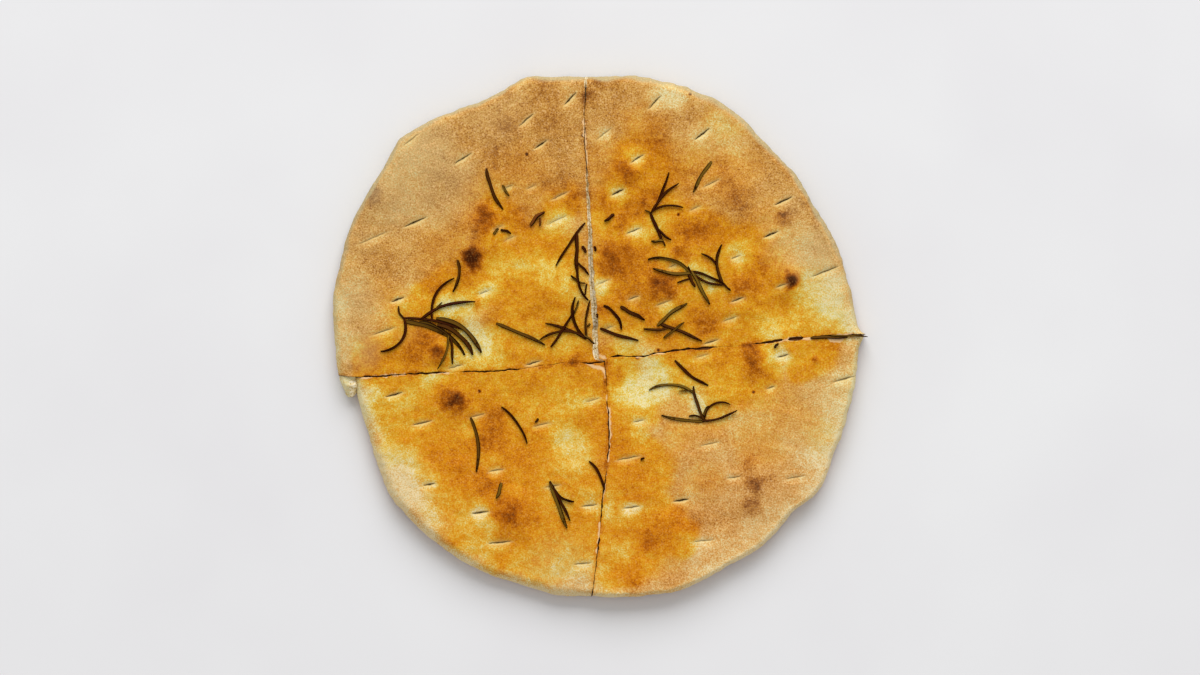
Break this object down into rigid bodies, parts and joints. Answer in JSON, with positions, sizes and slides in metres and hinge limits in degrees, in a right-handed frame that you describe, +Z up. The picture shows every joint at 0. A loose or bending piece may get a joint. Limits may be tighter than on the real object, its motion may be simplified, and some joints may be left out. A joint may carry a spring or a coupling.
{
  "type": "rosemary focaccia",
  "caption": "Flat round focaccia with docked slits, a golden oiled crust and dried rosemary sprigs, cut in quarters that still lie together as the round.",
  "frame": {"origin": "middle of the bounding box on the flat base the bread rests on", "axes": "+X to the right of the round, +Y to its back, along the open cut, +Z up through the crust"},
  "size_m": [0.3042, 0.2976, 0.0168],
  "materials": {
    "crust": "golden oiled bread crust, floury and matt towards the rim",
    "rosemary": "oven-dried rosemary, dark brown-green with a dull sheen"
  },
  "bodies": {
    "root": {"quarter_back_left": "crust", "quarter_back_right": "crust", "quarter_front_left": "crust", "quarter_front_right": "crust", "rosemary_left": "rosemary", "rosemary_centre": "rosemary", "rosemary_beside_cut": "rosemary", "rosemary_back_right": "rosemary", "rosemary_right": "rosemary", "rosemary_right_low": "rosemary", "rosemary_front": "rosemary", "rosemary_front_right": "rosemary", "rosemary_in_cut": "rosemary"}
  },
  "joints": []
}
